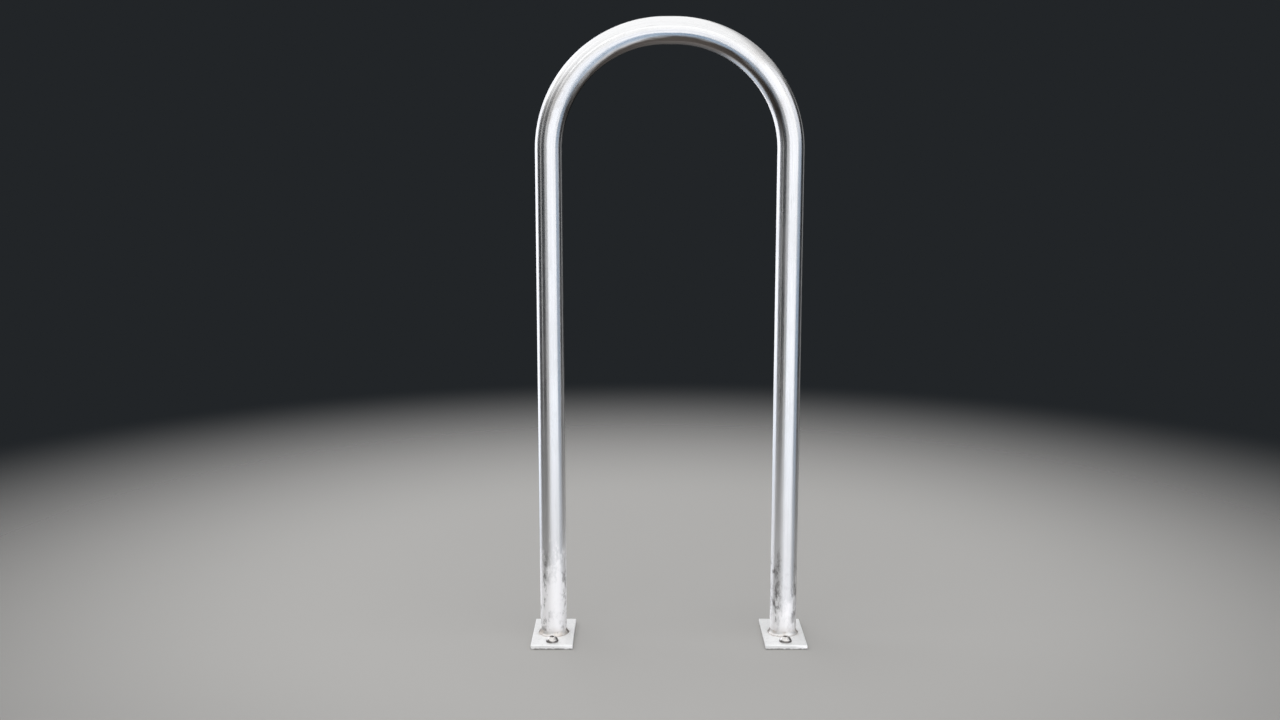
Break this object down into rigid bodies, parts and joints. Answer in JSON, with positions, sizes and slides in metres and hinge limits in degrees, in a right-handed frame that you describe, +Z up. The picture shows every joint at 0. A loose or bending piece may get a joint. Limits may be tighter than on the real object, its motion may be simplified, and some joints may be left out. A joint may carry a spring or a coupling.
{
  "type": "hoop bike stand",
  "caption": "Tall arch of bent round steel tube welded to flat bolt-down foot plates, to lean a bicycle against and lock its frame to.",
  "frame": {"origin": "on the ground, midway between the legs and midway along the foot plates", "axes": "+Z up, +X from the left leg to the right leg in the hoop's plane, +Y towards the back, along the foot plates"},
  "size_m": [0.396, 0.11, 0.886],
  "materials": {
    "satin_tube": "satin-polished stainless steel, dusty and scuffed near the feet",
    "pale_plate": "pale matt stainless flat bar with faint grey smudges",
    "weld_metal": "cleaned fillet weld with a trace of brown",
    "bright_screw": "bright turned steel, dirt round the edge"
  },
  "bodies": {
    "root": {"hoop_tube": "satin_tube", "base_plate_left": "pale_plate", "base_plate_right": "pale_plate", "weld_bead_left": "weld_metal", "weld_bead_right": "weld_metal", "washer_left_front": "bright_screw", "washer_left_rear": "bright_screw", "washer_right_front": "bright_screw", "washer_right_rear": "bright_screw", "button_screw_left_front": "bright_screw", "button_screw_left_rear": "bright_screw", "button_screw_right_front": "bright_screw", "button_screw_right_rear": "bright_screw"}
  },
  "joints": []
}
